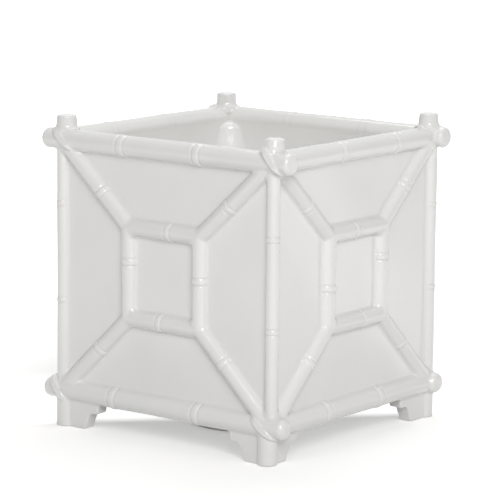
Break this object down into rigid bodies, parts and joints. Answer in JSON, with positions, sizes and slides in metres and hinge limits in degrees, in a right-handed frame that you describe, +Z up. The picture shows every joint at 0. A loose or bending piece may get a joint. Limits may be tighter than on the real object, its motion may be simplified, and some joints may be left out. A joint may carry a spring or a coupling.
{
  "type": "square planter",
  "caption": "Square open-topped planter of white glazed ceramic, framed in bamboo-style rails and posts, with a raised lattice on each wall, corner finials and bracket feet.",
  "frame": {"origin": "on the ground, under the middle of the planter", "axes": "+Z up; +X along the front from left to right; the front wall faces -Y and the right wall faces +X"},
  "size_m": [0.299, 0.279, 0.305],
  "materials": {
    "white_glaze": "high gloss"
  },
  "bodies": {
    "root": {"floor_slab": "white_glaze", "foot_ring": "white_glaze", "front_wall": "white_glaze", "right_wall": "white_glaze", "back_wall": "white_glaze", "left_wall": "white_glaze", "post_front_left": "white_glaze", "post_front_right": "white_glaze", "post_back_right": "white_glaze", "post_back_left": "white_glaze", "bottom_rail_front": "white_glaze", "bottom_rail_right": "white_glaze", "bottom_rail_back": "white_glaze", "bottom_rail_left": "white_glaze", "top_rail_front": "white_glaze", "top_rail_right": "white_glaze", "top_rail_back": "white_glaze", "top_rail_left": "white_glaze", "finial_front_left": "white_glaze", "finial_front_right": "white_glaze", "finial_back_right": "white_glaze", "finial_back_left": "white_glaze", "foot_front_left": "white_glaze", "foot_front_right": "white_glaze", "foot_back_right": "white_glaze", "foot_back_left": "white_glaze", "front_diagonal_upper_left": "white_glaze", "front_diagonal_upper_right": "white_glaze", "front_diagonal_lower_left": "white_glaze", "front_diagonal_lower_right": "white_glaze", "right_diagonal_upper_left": "white_glaze", "right_diagonal_upper_right": "white_glaze", "right_diagonal_lower_left": "white_glaze", "right_diagonal_lower_right": "white_glaze", "back_diagonal_upper_left": "white_glaze", "back_diagonal_upper_right": "white_glaze", "back_diagonal_lower_left": "white_glaze", "back_diagonal_lower_right": "white_glaze", "left_diagonal_upper_left": "white_glaze", "left_diagonal_upper_right": "white_glaze", "left_diagonal_lower_left": "white_glaze", "left_diagonal_lower_right": "white_glaze", "front_square_top": "white_glaze", "front_square_bottom": "white_glaze", "front_square_left": "white_glaze", "front_square_right": "white_glaze", "right_square_top": "white_glaze", "right_square_bottom": "white_glaze", "right_square_left": "white_glaze", "right_square_right": "white_glaze", "back_square_top": "white_glaze", "back_square_bottom": "white_glaze", "back_square_left": "white_glaze", "back_square_right": "white_glaze", "left_square_top": "white_glaze", "left_square_bottom": "white_glaze", "left_square_left": "white_glaze", "left_square_right": "white_glaze", "corner_lashings": "white_glaze", "corner_coves": "white_glaze"}
  },
  "joints": []
}
